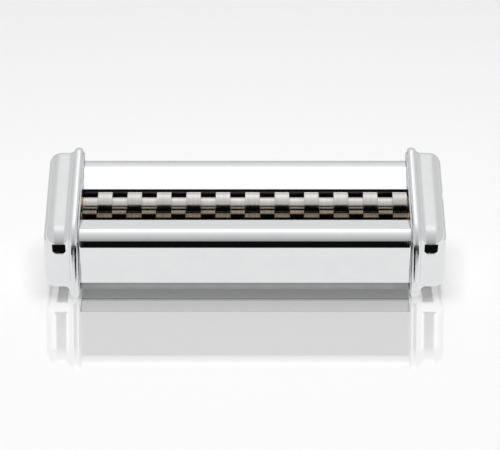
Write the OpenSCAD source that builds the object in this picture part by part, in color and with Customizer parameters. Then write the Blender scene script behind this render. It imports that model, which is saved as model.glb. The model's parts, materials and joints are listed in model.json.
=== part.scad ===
// Cutting-roller head for a hand pasta machine, in millimetres.
// X runs along the rollers, Y runs from the front cover to the rear cover, Z is up.
// The origin is on the resting plane, under the middle of the end caps.

/* [Cutting rollers] */
// Length of the cutting part of the rollers, which is the width of the widest sheet
cut_l = 143; // [130:1:180]
// Number of rings on each roller
ring_count = 11; // [8:1:14]
// Radius over the rings
ring_r = 6.2; // [5.8:0.1:6.6]
// Depth of the grooves between the rings
groove_depth = 2.2; // [1.6:0.05:2.4]
// Radial clearance between a ring and the groove that it dips into
nip_gap = 0.1; // [0.05:0.01:0.3]
// Clearance on each side of a ring in its groove
ring_side_gap = 0.05; // [0.02:0.01:0.1]
// Radius of the roller shafts
shaft_r = 3; // [2.6:0.1:3.2]
// How far the rear roller's rings stand above the top of the front cover
ring_rise = 4.75; // [4:0.05:5.5]
// Angle by which the rear roller's axis stands above the front roller's
pair_lean = 18.8; // [14:0.1:24]
// Y of the middle between the two roller axes
nip_y = -2.9; // [-4:0.1:-2]

/* [Covers] */
// Thickness of the cover sheet
sheet_t = 0.8; // [0.6:0.05:1]
// Radius of the front cover's big bend, outside
bend_r = 5.2; // [3:0.1:7]
// Radius of the rear cover's crest, outside
crest_r = 16; // [12:0.5:18]
// Radius of the bend behind the crest, outside
back_r = 4; // [3:0.1:5]
// Radius of the small bends at the foot of the covers, outside
foot_r = 1.4; // [1.2:0.1:2]
// Length of the turned-in flange at the foot of the covers
foot_l = 3.6; // [2.6:0.1:5]
// Height of the foot of both covers
foot_z = 3.3; // [3:0.1:7]
// How far the top of the front cover lies below the top of the caps' front bend
front_top_drop = 3.8; // [3:0.1:5]
// How far the front cover stays behind the front of the end caps
front_inset = 2; // [1.8:0.1:3.2]
// Lean of the front cover's face from the vertical
front_lean = 26; // [20:0.5:30]
// Distance from the front cover's slot edge back to the foremost line of the rings
front_slot_gap = 3.3; // [2.4:0.1:4]
// Distance from the rearmost line of the rings back to the rear cover's slot edge
rear_slot_gap = 1.1; // [0.6:0.1:2]
// How far the rear cover stays in front of the rear of the end caps
rear_inset = 2.3; // [2.1:0.1:4]
// How far the top of the rear cover stands above the top of the front cover
rear_rise = 10.3; // [9.8:0.1:10.8]
// Distance from the rear of the rear cover forward to the top of its crest
crest_in = 7; // [6:0.1:8]
// Slope of the rear cover's top towards the slot
rear_slope = 30; // [26:0.5:32]
// Fall of the rear cover's top behind the crest
crest_fall = 12; // [6:0.5:16]
// Lean of the rear cover's back from the vertical
rear_lean = 10; // [6:0.5:14]
// Width of the tabs that hold the covers in the side plates
tab_w = 4; // [3:0.1:5]

/* [End caps] */
// Depth of a cap, front to rear
cap_depth = 68.6; // [68:0.1:72]
// Height of a cap
cap_h = 49; // [48.5:0.1:52]
// Radius of the cap's front bend
cap_front_r = 11.5; // [9:0.1:13]
// Radius of the cap's rear top corner
cap_rear_r = 8; // [6:0.1:10]
// Radius of the cap's two bottom corners
cap_foot_r = 3; // [2.5:0.1:5]
// Slope of the cap's top towards the front
cap_slope = 14.5; // [12:0.5:16]
// Lean of the cap's front from the vertical
cap_lean = 12; // [8:0.5:16]
// Lean of the cap's rear from the vertical
cap_rear_lean = 5; // [2:0.5:8]
// Thickness of the rim around the cap's mouth
rim_t = 3.6; // [3:0.1:5]
// Radius of the rolled edges of the rim
rim_edge_r = 1.3; // [0.6:0.1:1.4]
// How far the rim stands out past the cap's outer shell
rim_step = 2.4; // [2:0.1:3.2]
// How far the bottom of the outer shell stays above the resting plane
shell_foot_z = 3.8; // [3:0.1:5]
// Length of the outer shell, from the rim to the cap's outer face
shell_l = 11.3; // [10.5:0.1:16]
// Radius of the outer shell's edge
shell_edge_r = 5.2; // [3:0.1:6]
// Wall of the cap
cap_wall = 1.5; // [1.2:0.1:2]

/* [Side plates] */
// Thickness of a side plate
plate_t = 1.5; // [1.2:0.1:2]
// Gap from the end of the rings to a side plate
plate_gap = 0.5; // [0.4:0.05:0.8]
// How far the side plate stays inside the rim's outline
plate_inset = 2.1; // [2.1:0.1:2.4]
// How far the side plate stands out of the cap's mouth
plate_proud = 0.6; // [0.4:0.1:0.9]

/* [Bushes and gears] */
// Radius of the part of a bush that sits in the plate
bush_r = 4.1; // [3.8:0.1:4.3]
// Radius of the flange of a bush
bush_flange_r = 4.8; // [4.6:0.1:4.9]
// Thickness of the flange of a bush
bush_flange_t = 2; // [1:0.1:2.4]
// Running clearance of a shaft in its bush, on the radius
running_gap = 0.05; // [0.02:0.01:0.09]
// Teeth on each gear
gear_teeth = 16; // [14:1:20]
// Face width of a gear
gear_w = 5; // [3:0.1:5.4]
// Radius of a gear's hub
gear_hub_r = 4.2; // [4:0.1:4.3]
// Length of a gear's hub past its teeth
gear_hub_l = 3.4; // [3:0.1:3.6]
// Radius of the pins that lock the gears and the drive socket
pin_r = 0.8; // [0.6:0.1:1]

/* [Drive socket] */
// Outer radius of the drive socket
socket_r = 5.6; // [5.3:0.1:5.8]
// Radius of the hole for the crank
crank_r = 3.7; // [3.5:0.1:4]
// Depth of the hole for the crank
crank_depth = 7.4; // [6:0.1:7.6]
// Width of the cross slot for the crank's pin
cross_w = 2.2; // [1.5:0.1:2.6]
// Depth of the cross slot
cross_depth = 3; // [2:0.1:4]
// Clearance around the socket in the right cap
socket_gap = 0.6; // [0.4:0.1:1]

/* [Tie rods and screws] */
// Radius of the tie rods
tie_r = 3; // [2.6:0.1:3.2]
// Radius of the cap screws
screw_r = 2; // [1.5:0.1:2.1]
// Radius of a screw head
screw_head_r = 3.8; // [3.4:0.1:4]
// Height of a screw head
screw_head_h = 2.4; // [1.8:0.1:2.6]
// How far a screw reaches into its tie rod
screw_grip = 11; // [6:0.5:14]
// Depth of the front tie rod below the front roller's axis
front_tie_drop = 12; // [11:0.1:13]
// Distance from the back of the rear cover forward to the upper rear tie rod
top_tie_in = 10.5; // [9.5:0.1:11]
// Depth of the upper rear tie rod below the top of the rear cover
top_tie_drop = 12.7; // [11:0.1:14]
// Distance from the back of the rear cover forward to the lower rear tie rod
low_tie_in = 12; // [11:0.1:13]
// Height of the lower rear tie rod above the resting plane
low_tie_z = 15; // [14:0.1:16]

/* [Combs] */
// Thickness of the comb sheet
comb_t = 1.2; // [1:0.1:1.4]
// Radial clearance of a comb tooth to its groove and to the ring's outline
comb_gap = 0.45; // [0.3:0.05:0.5]
// Clearance on each side of a comb tooth in its groove
comb_side_gap = 0.8; // [0.5:0.05:1.5]
// Angle from the line between the axes at which the teeth end
comb_end_angle = 42; // [38:1:50]
// Reach of the comb's flat from the roller's axis, towards the nip
comb_in = 1.5; // [1:0.1:2]
// Reach of the comb's flat from the roller's axis, away from the nip
comb_out = 5.4; // [5:0.1:6]
// Height of the comb's folded edge
comb_fold_h = 5; // [4:0.1:6]

/* [Mounting hooks] */
// Distance from a side plate to the middle of the hook next to it
hook_in = 20; // [16:1:40]
// Width of the hook's tongue
hook_w = 12; // [8:0.5:16]
// Width of the hook's base
hook_base_w = 26; // [22:0.5:30]
// Length of the hook's base
hook_base_l = 14; // [10:0.5:16]
// Length of the hook's tongue
hook_tongue_l = 11; // [8:0.5:14]
// Thickness of the hook sheet
hook_t = 1.2; // [1:0.1:1.4]
// Width of the slot behind the tongue
hook_slot = 1.8; // [1.5:0.1:2]
// Height of the top of the hooks
hook_top_z = 24; // [20:0.5:25]
// Radius of a rivet
rivet_r = 1.5; // [1.2:0.1:1.8]
// Radius of a rivet head
rivet_head_r = 2.6; // [2.2:0.1:3]
// Height of a rivet head
rivet_head_h = 0.8; // [0.5:0.1:1]

/* [Hidden] */

$fn = 64;

// Slip fit between pieces that are fixed together
seat_gap = 0.02;
// Clearance of a tab, a tongue or a plate in its slot
slot_gap = 0.2;
// Overlap that keeps one cut running past the face it leaves
past = 1;
// Arc pieces of one rounded corner, and slices of one rounded edge
corner_steps = 9;
edge_steps = 6;
// Gear tooth shape
pressure_angle = 20;
addendum = 0.85;
dedendum = 1.2;
backlash = 0.2;
flank_steps = 5;

// Width of one ring, which is the width of one noodle
ring_w = cut_l / ring_count / 2;

// Places along X
plate_x = cut_l / 2 + plate_gap;
plate_out_x = plate_x + plate_t;
bush_in_x = cut_l / 2 + plate_gap * 0.4;
bush_out_x = plate_out_x + bush_flange_t;
rim_x = plate_x + plate_proud;
shell_x = rim_x + rim_t;
cap_x = shell_x + shell_l;
recess_x = plate_out_x + slot_gap;
cover_x = plate_x - 0.1;
gear_x = bush_out_x + 0.5;
gear_hub_x = gear_x + gear_w;
gear_end_x = gear_hub_x + gear_hub_l;
gear_pin_x = gear_hub_x + gear_hub_l / 2;
socket_x = bush_out_x + 0.4;
socket_end_x = cap_x - 0.5;
socket_seat_x = socket_end_x - crank_depth;
socket_pin_x = (socket_x + socket_seat_x) / 2;
clip_x = bush_out_x + 0.3;
clip_t = 0.8;
clip_slot_depth = 0.6;
clip_r = shaft_r + 1.4;
stub_end_x = clip_x + clip_t + 1.6;
hook_x = plate_x - hook_in;

// The four sides of the cap, as [unit normal, distance]
cap_front_centre_y = cap_front_r - cap_depth / 2;
cap_rear_centre = [cap_depth / 2 - cap_rear_r, cap_h - cap_rear_r];
cap_top_side = let (n = [-sin(cap_slope), cos(cap_slope)]) [n, n * cap_rear_centre + cap_rear_r];
cap_front_centre = [cap_front_centre_y,
    (cap_top_side[1] - cap_front_r + sin(cap_slope) * cap_front_centre_y) / cos(cap_slope)];
cap_front_side = let (n = [-cos(cap_lean), -sin(cap_lean)]) [n, n * cap_front_centre + cap_front_r];
cap_rear_side = let (n = [cos(cap_rear_lean), -sin(cap_rear_lean)])
    [n, n * cap_rear_centre + cap_rear_r];
cap_foot_side = [[0, -1], 0];

// Places across the section
front_y = front_inset - cap_depth / 2;
rear_y = cap_depth / 2 - rear_inset;
front_top_z = cap_front_centre.y + cap_front_r - front_top_drop;
groove_r = ring_r - groove_depth;
axis_dist = ring_r + groove_r + nip_gap;
rear_axis = [nip_y + axis_dist / 2 * cos(pair_lean), front_top_z + ring_rise - ring_r];
front_axis = rear_axis - axis_dist * [cos(pair_lean), sin(pair_lean)];
front_slot_y = front_axis.x - ring_r - front_slot_gap;
rear_slot_y = rear_axis.x + ring_r + rear_slot_gap;

// The front cover's bend and its two flat sides
front_bend = [front_y + bend_r, front_top_z - bend_r];
front_side = let (n = [-cos(front_lean), -sin(front_lean)]) [n, n * front_bend + bend_r];
front_top_side = [[0, 1], front_top_z];

// Y of the inside of the front cover's face at the height z
function face_y(z) = (front_side[1] - sheet_t - front_side[0].y * z) / front_side[0].x;

// Y and Z of the tie rods, the front one midway between the front comb and the cover's face
front_tie_z = front_axis.y - front_tie_drop;
front_tie = [(face_y(front_tie_z) + front_axis.x - comb_out) / 2, front_tie_z];
top_tie = [rear_y - top_tie_in, front_top_z + rear_rise - top_tie_drop];
low_tie = [rear_y - low_tie_in, low_tie_z];

// Combs, measured from the roller axes
tooth_in_r = groove_r + comb_gap;
tooth_out_r = ring_r - comb_gap;
comb_top = -ring_r - comb_gap;

// Screws and their bosses
screw_seat_x = cap_x - screw_head_h - 0.2;
post_r = screw_r + 1.6;
boss_r = screw_head_r + 1.7;
boss_x = screw_seat_x - 2;
screw_tip_x = plate_x - screw_grip;
tie_places = [front_tie, top_tie, low_tie];

// ---- Outlines in the Y-Z plane -------------------------------------------------

function unit(v) = v / norm(v);
function reversed(p) = [for (i = [len(p) - 1 : -1 : 0]) p[i]];

// Arc that rounds the corner at b between a and c
function corner_arc(a, b, c, r) =
    let (
        u = unit(a - b), v = unit(c - b), half = acos(u * v) / 2,
        centre = b + unit(u + v) * r / sin(half),
        from = b + u * r / tan(half) - centre, to = b + v * r / tan(half) - centre,
        a0 = atan2(from.y, from.x), turn = atan2(to.y, to.x) - a0,
        sweep = turn > 180 ? turn - 360 : turn < -180 ? turn + 360 : turn
    )
    [for (i = [0 : corner_steps]) let (t = a0 + sweep * i / corner_steps)
        centre + r * [cos(t), sin(t)]];

// Open path through sharp points, rounded at the inner ones by the given radii
function bent_path(points, radii) =
    let (last = len(points) - 1)
    concat(
        [points[0]],
        [for (i = [1 : last - 1])
            each corner_arc(points[i - 1], points[i], points[i + 1], radii[i - 1])],
        [points[last]]
    );

// Left-hand normal of the step from a to b
function step_normal(a, b) = let (d = unit(b - a)) [-d.y, d.x];

// The same path moved sideways by t, to its left
function moved_path(p, t) =
    let (last = len(p) - 1)
    [for (i = [0 : last])
        let (
            before = step_normal(p[max(i - 1, 0)], p[max(i, 1)]),
            after = step_normal(p[min(i, last - 1)], p[min(i + 1, last)])
        )
        p[i] + t * (before + after) / (1 + before * after)];

// Closed outline of sheet metal whose outer side is the path
function sheet_outline(path, t) = concat(path, reversed(moved_path(path, t)));

// Point where two lines meet, each given as [unit normal, distance]
function meet(a, b) =
    let (det = a[0].x * b[0].y - a[0].y * b[0].x)
    [(a[1] * b[0].y - b[1] * a[0].y) / det, (a[0].x * b[1] - b[0].x * a[1]) / det];

// Outline of the cap, moved in by d, with its foot moved in by foot_d
function cap_outline(d, foot_d) =
    let (
        move = function (side, by) [side[0], side[1] - by],
        front = move(cap_front_side, d), top = move(cap_top_side, d),
        rear = move(cap_rear_side, d), foot = move(cap_foot_side, foot_d),
        corners = [meet(foot, front), meet(front, top), meet(top, rear), meet(rear, foot)],
        smallest = 0.6,
        foot_corner_r = max(cap_foot_r + (foot_d > rim_step ? shell_foot_r_extra : 0) - d, smallest),
        radii = [foot_corner_r, max(cap_front_r - d, smallest), max(cap_rear_r - d, smallest),
            foot_corner_r]
    )
    [for (i = [0 : 3])
        each corner_arc(corners[(i + 3) % 4], corners[i], corners[(i + 1) % 4], radii[i])];

// The outer shell's bottom corners are rounder than the rim's by this
shell_foot_r_extra = 4;

// Outer side of the front cover, from its slot edge to its turned-in foot
front_foot = meet(front_side, [[0, -1], -foot_z]);
front_cover_path = bent_path(
    [
        [front_slot_y, front_top_z],
        meet(front_side, front_top_side),
        front_foot,
        front_foot - foot_l * front_side[0]
    ],
    [bend_r, foot_r]
);

// Outer side of the rear cover, from its slot edge to its turned-in foot
crest = [rear_y - crest_in, front_top_z + rear_rise - crest_r];
rear_top_side = let (n = [-sin(rear_slope), cos(rear_slope)]) [n, n * crest + crest_r];
crest_side = let (n = [sin(crest_fall), cos(crest_fall)]) [n, n * crest + crest_r];
back_bend = meet([crest_side[0], crest_side[1] - back_r], [[1, 0], rear_y - back_r]);
rear_side = let (n = [cos(rear_lean), -sin(rear_lean)]) [n, n * back_bend + back_r];
rear_slot_edge = meet(rear_top_side, [[1, 0], rear_slot_y]);
rear_foot = meet(rear_side, [[0, -1], -foot_z]);
rear_cover_path = bent_path(
    [
        rear_slot_edge,
        meet(rear_top_side, crest_side),
        meet(crest_side, rear_side),
        rear_foot,
        rear_foot - foot_l * rear_side[0]
    ],
    [crest_r, back_r, foot_r]
);

// ---- Shared shapes -------------------------------------------------------------

// Extrudes a Y-Z outline from x0 to x1
module across(x0, x1) {
    translate([x0, 0, 0]) rotate([90, 0, 90]) linear_extrude(x1 - x0) children();
}

// Round bar along X, from x0 to x1, around the Y-Z place at
module bar(x0, x1, r, at) {
    translate([x0, at[0], at[1]]) rotate([0, 90, 0]) cylinder(h = x1 - x0, r = r);
}

// Puts a shape made for the right end at the left end
module at_left() {
    mirror([1, 0, 0]) children();
}

// Rings of a block whose far edge is rounded: each is a place along X and an outline,
// and the block's outline is moved in by d, and its foot by foot_d
function edge_rings(x0, x1, d, foot_d, r) = concat(
    [[x0, cap_outline(d, foot_d)]],
    [for (i = [0 : edge_steps]) let (t = 90 * i / edge_steps, in = r * (1 - cos(t)))
        [x1 - r * (1 - sin(t)), cap_outline(d + in, foot_d + in)]]
);

// Closed solid through outlines of equally many points, in order of X
module lofted(rings) {
    n = len(rings[0][1]);
    last = (len(rings) - 1) * n;
    polyhedron(
        points = [for (ring = rings, p = ring[1]) [ring[0], p.x, p.y]],
        faces = concat(
            [[for (i = [n - 1 : -1 : 0]) i]],
            [[for (i = [0 : n - 1]) last + i]],
            [for (k = [0 : n : last - n], i = [0 : n - 1])
                let (a = k + i, b = k + (i + 1) % n)
                each [[a, b, b + n], [a, b + n, a + n]]]
        )
    );
}

// ---- End caps ------------------------------------------------------------------

module rim() {
    middle_x = (rim_x + shell_x) / 2;
    far_half = edge_rings(middle_x, shell_x, 0, 0, rim_edge_r);
    near_half = [for (ring = reversed(far_half)) [2 * middle_x - ring[0], ring[1]]];
    lofted(concat([for (i = [0 : len(near_half) - 2]) near_half[i]], far_half));
}

module cap_shell() {
    difference() {
        union() {
            difference() {
                union() {
                    rim();
                    lofted(edge_rings(rim_x + rim_t / 2, cap_x, rim_step, shell_foot_z,
                        shell_edge_r));
                }
                lofted(edge_rings(rim_x - past, cap_x - cap_wall, rim_step + cap_wall,
                    shell_foot_z + cap_wall, shell_edge_r - cap_wall));
                across(rim_x - past, recess_x)
                    polygon(cap_outline(plate_inset - slot_gap, plate_inset - slot_gap));
            }
            for (at = tie_places) {
                bar(plate_out_x, cap_x - cap_wall / 2, post_r, at);
                bar(boss_x, cap_x - cap_wall / 2, boss_r, at);
            }
        }
        for (at = tie_places) {
            bar(plate_out_x - past, cap_x + past, screw_r + slot_gap, at);
            bar(screw_seat_x, cap_x + past, screw_head_r + slot_gap, at);
        }
    }
}

module left_cap() {
    color("gainsboro") at_left() cap_shell();
}

module right_cap() {
    color("gainsboro") difference() {
        cap_shell();
        bar(plate_out_x, cap_x + past, socket_r + socket_gap, rear_axis);
    }
}

// ---- Side plates ---------------------------------------------------------------

// Tabs of the front cover, with clearance c all round
module front_tabs(c) {
    face_mid = (front_foot + meet(front_side, front_top_side)) / 2;
    translate([front_bend.x + tab_w, front_top_z - sheet_t / 2])
        square([tab_w + 2 * c, sheet_t + 2 * c], center = true);
    translate(face_mid - front_side[0] * sheet_t / 2) rotate(90 + front_lean)
        square([tab_w + 2 * c, sheet_t + 2 * c], center = true);
}

// Tabs of the rear cover, with clearance c all round
module rear_tabs(c) {
    top_mid = rear_slot_edge + tab_w * [cos(rear_slope), sin(rear_slope)];
    back_mid = (rear_foot + meet(crest_side, rear_side)) / 2;
    translate(top_mid - rear_top_side[0] * sheet_t / 2) rotate(rear_slope)
        square([tab_w + 2 * c, sheet_t + 2 * c], center = true);
    translate(back_mid - rear_side[0] * sheet_t / 2) rotate(90 - rear_lean)
        square([tab_w + 2 * c, sheet_t + 2 * c], center = true);
}

// Section of a comb's flat and folded edge around a roller axis at the origin,
// with the nip towards +Y
module comb_section(c) {
    translate([-comb_out - c, comb_top - comb_t - c])
        square([comb_out + comb_in + 2 * c, comb_t + 2 * c]);
    translate([-comb_out - c, comb_top - comb_fold_h - c])
        square([comb_t + 2 * c, comb_fold_h + 2 * c]);
}

// Places a section that is drawn for the front roller at the front or the rear roller
module at_roller(front) {
    translate(front ? front_axis : rear_axis) mirror([front ? 0 : 1, 0]) children();
}

module side_plate() {
    difference() {
        across(plate_x, plate_out_x) polygon(cap_outline(plate_inset, plate_inset));
        for (axis = [front_axis, rear_axis])
            bar(plate_x - past, plate_out_x + past, bush_r + seat_gap, axis);
        for (at = tie_places)
            bar(plate_x - past, plate_out_x + past, screw_r + slot_gap, at);
        across(plate_x - past, plate_out_x + past) {
            front_tabs(slot_gap);
            rear_tabs(slot_gap);
            for (front = [true, false]) at_roller(front) comb_section(slot_gap);
        }
    }
}

module left_side_plate() {
    color("darkgray") at_left() side_plate();
}

module right_side_plate() {
    color("darkgray") side_plate();
}

// ---- Covers --------------------------------------------------------------------

module front_cover() {
    color("silver") {
        across(-cover_x, cover_x) polygon(sheet_outline(front_cover_path, sheet_t));
        for (x = [-plate_out_x, cover_x])
            across(x, x + plate_out_x - cover_x) front_tabs(0);
    }
}

module rear_cover() {
    color("silver") difference() {
        union() {
            across(-cover_x, cover_x) polygon(sheet_outline(rear_cover_path, -sheet_t));
            for (x = [-plate_out_x, cover_x])
                across(x, x + plate_out_x - cover_x) rear_tabs(0);
        }
        at_rivets() rivet_hole();
    }
}

// ---- Rollers -------------------------------------------------------------------

// Roller with its rings on the even or the odd places, counted from the left
module cutting_roller(axis, first, left_x, right_x) {
    bar(-cut_l / 2, cut_l / 2, groove_r, axis);
    bar(left_x, right_x, shaft_r, axis);
    for (i = [0 : ring_count - 1]) {
        x = -cut_l / 2 + (2 * i + first) * ring_w;
        from = max(x + ring_side_gap, -cut_l / 2);
        to = min(x + ring_w - ring_side_gap, cut_l / 2);
        bar(from, to, ring_r, axis);
    }
}

// Hole across a shaft for a locking pin
module pin_hole(x, axis) {
    translate([x, axis[0], axis[1] - socket_r - past])
        cylinder(h = 2 * (socket_r + past), r = pin_r + seat_gap);
}

// Locking pin through a hub of radius r
module locking_pin(x, axis, r) {
    translate([x, axis[0], axis[1] - r + 0.3]) cylinder(h = 2 * (r - 0.3), r = pin_r);
}

module front_roller() {
    color("lightgray") difference() {
        cutting_roller(front_axis, 0, -gear_end_x, stub_end_x);
        pin_hole(-gear_pin_x, front_axis);
        difference() {
            bar(clip_x, clip_x + clip_t, shaft_r + past, front_axis);
            bar(clip_x - past, clip_x + clip_t + past, shaft_r - clip_slot_depth, front_axis);
        }
    }
}

module rear_roller() {
    color("lightgray") difference() {
        cutting_roller(rear_axis, 1, -gear_end_x, socket_seat_x - seat_gap);
        pin_hole(-gear_pin_x, rear_axis);
        pin_hole(socket_pin_x, rear_axis);
    }
}

// ---- Bushes --------------------------------------------------------------------

module bush(axis) {
    color("goldenrod") difference() {
        union() {
            bar(bush_in_x, bush_out_x, bush_r, axis);
            bar(plate_out_x, bush_out_x, bush_flange_r, axis);
        }
        bar(bush_in_x - past, bush_out_x + past, shaft_r + running_gap, axis);
    }
}

module front_left_bush() {
    at_left() bush(front_axis);
}

module front_right_bush() {
    bush(front_axis);
}

module rear_left_bush() {
    at_left() bush(rear_axis);
}

module rear_right_bush() {
    bush(rear_axis);
}

// ---- Gears ---------------------------------------------------------------------

pitch_r = axis_dist / 2;
gear_module = axis_dist / gear_teeth;
base_r = pitch_r * cos(pressure_angle);
tip_r = pitch_r + addendum * gear_module;
root_r = pitch_r - dedendum * gear_module;

// Involute function, in degrees
function involute(a) = tan(a) * 180 / PI - a;

// Half the angle that a tooth takes up at radius r
function tooth_half_angle(r) =
    90 / gear_teeth + involute(pressure_angle) - involute(acos(base_r / r))
    - backlash / 4 / pitch_r * 180 / PI;

// Radii at which a tooth's flank has its points
flank_radii = [root_r, for (i = [0 : flank_steps]) let (r = max(base_r, root_r) + 0.001)
    r + (tip_r - r) * i / flank_steps];

function flank_angle(r) = tooth_half_angle(max(r, base_r + 0.001));

gear_outline = [for (i = [0 : gear_teeth - 1])
    let (mid = i * 360 / gear_teeth)
    each concat(
        [for (r = flank_radii) let (t = mid - flank_angle(r)) r * [cos(t), sin(t)]],
        [for (r = reversed(flank_radii)) let (t = mid + flank_angle(r)) r * [cos(t), sin(t)]]
    )];

module gear(axis, turn) {
    color("dimgray") at_left() difference() {
        union() {
            across(gear_x, gear_hub_x) translate(axis) rotate(turn) polygon(gear_outline);
            bar(gear_x, gear_end_x - 0.2, gear_hub_r, axis);
        }
        bar(gear_x - past, gear_end_x + past, shaft_r + seat_gap, axis);
        pin_hole(gear_pin_x, axis);
    }
}

// One tooth points along the line between the axes
module front_gear() {
    gear(front_axis, pair_lean);
}

// Turned by the angle that puts a gap opposite the front gear's tooth
module rear_gear() {
    gear(rear_axis, pair_lean + 180 + 180 / gear_teeth);
}

module front_gear_pin() {
    color("dimgray") locking_pin(-gear_pin_x, front_axis, gear_hub_r);
}

module rear_gear_pin() {
    color("dimgray") locking_pin(-gear_pin_x, rear_axis, gear_hub_r);
}

// ---- Drive end -----------------------------------------------------------------

module drive_socket() {
    color("lightslategray") difference() {
        bar(socket_x, socket_end_x, socket_r, rear_axis);
        bar(socket_x - past, socket_seat_x, shaft_r + seat_gap, rear_axis);
        bar(socket_seat_x - seat_gap, socket_end_x + past, crank_r, rear_axis);
        pin_hole(socket_pin_x, rear_axis);
        translate([socket_end_x - cross_depth, rear_axis[0] - socket_r, rear_axis[1] - cross_w / 2])
            cube([cross_depth + past, 2 * socket_r, cross_w]);
    }
}

module socket_pin() {
    color("dimgray") locking_pin(socket_pin_x, rear_axis, socket_r);
}

module front_roller_clip() {
    color("dimgray") difference() {
        bar(clip_x + seat_gap, clip_x + clip_t - seat_gap, clip_r, front_axis);
        bar(clip_x - past, clip_x + clip_t + past, shaft_r - clip_slot_depth + seat_gap, front_axis);
        translate([clip_x - past, front_axis[0] - shaft_r * 0.6, front_axis[1] - clip_r - past])
            cube([clip_t + 2 * past, shaft_r * 1.2, clip_r + past]);
    }
}

// ---- Combs ---------------------------------------------------------------------

// One tooth: a finger that lies in a groove under the roller and ends before the nip,
// at the given angle below the horizontal
module comb_tooth(end_angle) {
    difference() {
        union() {
            intersection() {
                circle(tooth_out_r);
                polygon([
                    [0, 0],
                    2 * ring_r * [cos(end_angle), -sin(end_angle)],
                    [0, -2 * ring_r],
                    [-comb_in, -2 * ring_r],
                    [-comb_in, 0]
                ]);
            }
            translate([-comb_out + comb_t, comb_top - comb_t / 2])
                square([comb_out - comb_t + comb_in, ring_r - tooth_in_r + comb_gap + comb_t]);
        }
        circle(tooth_in_r);
    }
}

module comb(front, first) {
    tooth_w = ring_w - 2 * comb_side_gap;
    end_angle = comb_end_angle + (front ? -pair_lean : pair_lean);
    across(-plate_out_x, plate_out_x) at_roller(front) comb_section(0);
    for (i = [0 : ring_count - 1]) {
        x = -cut_l / 2 + (2 * i + first) * ring_w + comb_side_gap;
        across(x, x + tooth_w) at_roller(front) comb_tooth(end_angle);
    }
}

module front_comb() {
    color("slategray") comb(true, 1);
}

module rear_comb() {
    color("slategray") comb(false, 0);
}

// ---- Tie rods and screws -------------------------------------------------------

module tie_rod(at) {
    end_x = plate_x - seat_gap;
    color("gray") difference() {
        bar(-end_x, end_x, tie_r, at);
        bar(screw_tip_x - past, end_x + past, screw_r + seat_gap, at);
        at_left() bar(screw_tip_x - past, end_x + past, screw_r + seat_gap, at);
    }
}

module front_tie_rod() {
    tie_rod(front_tie);
}

module top_tie_rod() {
    tie_rod(top_tie);
}

module low_tie_rod() {
    tie_rod(low_tie);
}

module cap_screws() {
    recess_w = 1;
    recess_l = screw_head_r * 1.1;
    recess_depth = screw_head_h * 0.6;
    head_x = screw_seat_x + screw_head_h;
    for (at = tie_places) difference() {
        union() {
            bar(screw_tip_x, screw_seat_x + screw_head_h / 2, screw_r, at);
            bar(screw_seat_x, head_x, screw_head_r, at);
        }
        translate([head_x, at[0], at[1]]) for (turn = [45, 135])
            rotate([turn, 0, 0]) cube([2 * recess_depth, recess_l, recess_w], center = true);
    }
}

module left_cap_screws() {
    color("gray") at_left() cap_screws();
}

module right_cap_screws() {
    color("gray") cap_screws();
}

// ---- Mounting hooks ------------------------------------------------------------

hook_place = meet(rear_side, [[0, 1], hook_top_z]);

// Draws a section that lies on the rear cover's back: x runs down the back, y runs out of it
module on_back() {
    translate(hook_place) rotate(270 - rear_lean) children();
}

module hook(x) {
    color("darkgray") difference() {
        union() {
            across(x - hook_base_w / 2, x + hook_base_w / 2) on_back()
                translate([0, 0]) square([hook_base_l, hook_t]);
            across(x - hook_w / 2, x + hook_w / 2) on_back() {
                square([hook_t, 2 * hook_t + hook_slot]);
                translate([0, hook_t + hook_slot]) square([hook_tongue_l, hook_t]);
            }
        }
        at_rivets() rivet_hole();
    }
}

// Places shapes at the four rivets, with +Z out of the rear cover's back
module at_rivets() {
    down = [-sin(rear_lean), -cos(rear_lean)];
    place = hook_place + down * hook_base_l / 2;
    for (side = [-1, 1], end = [-1, 1])
        translate([side * hook_x + end * (hook_base_w + hook_w) / 4, place.x, place.y])
            rotate([-90 - rear_lean, 0, 0]) children();
}

module rivet_hole() {
    translate([0, 0, -sheet_t - past])
        cylinder(h = sheet_t + hook_t + 2 * past, r = rivet_r + seat_gap);
}

module left_hook() {
    hook(-hook_x);
}

module right_hook() {
    hook(hook_x);
}

module hook_rivets() {
    color("gray") at_rivets() {
        translate([0, 0, -sheet_t - rivet_head_h]) {
            cylinder(h = sheet_t + hook_t + 2 * rivet_head_h, r = rivet_r);
            cylinder(h = rivet_head_h, r = rivet_head_r);
        }
        translate([0, 0, hook_t]) cylinder(h = rivet_head_h, r = rivet_head_r);
    }
}

left_cap();
right_cap();
left_side_plate();
right_side_plate();
front_cover();
rear_cover();
front_roller();
rear_roller();
front_left_bush();
front_right_bush();
rear_left_bush();
rear_right_bush();
front_gear();
rear_gear();
front_gear_pin();
rear_gear_pin();
drive_socket();
socket_pin();
front_roller_clip();
front_comb();
rear_comb();
front_tie_rod();
top_tie_rod();
low_tie_rod();
left_cap_screws();
right_cap_screws();
left_hook();
right_hook();
hook_rivets();
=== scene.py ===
"""Looks of the chromed cutting-roller head: pressed caps, folded covers, turned rollers, studio.

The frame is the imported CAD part. Lengths written in millimetres carry the names that the
part's source gives them, and MM turns them into metres.
"""
import json
import math

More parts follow.
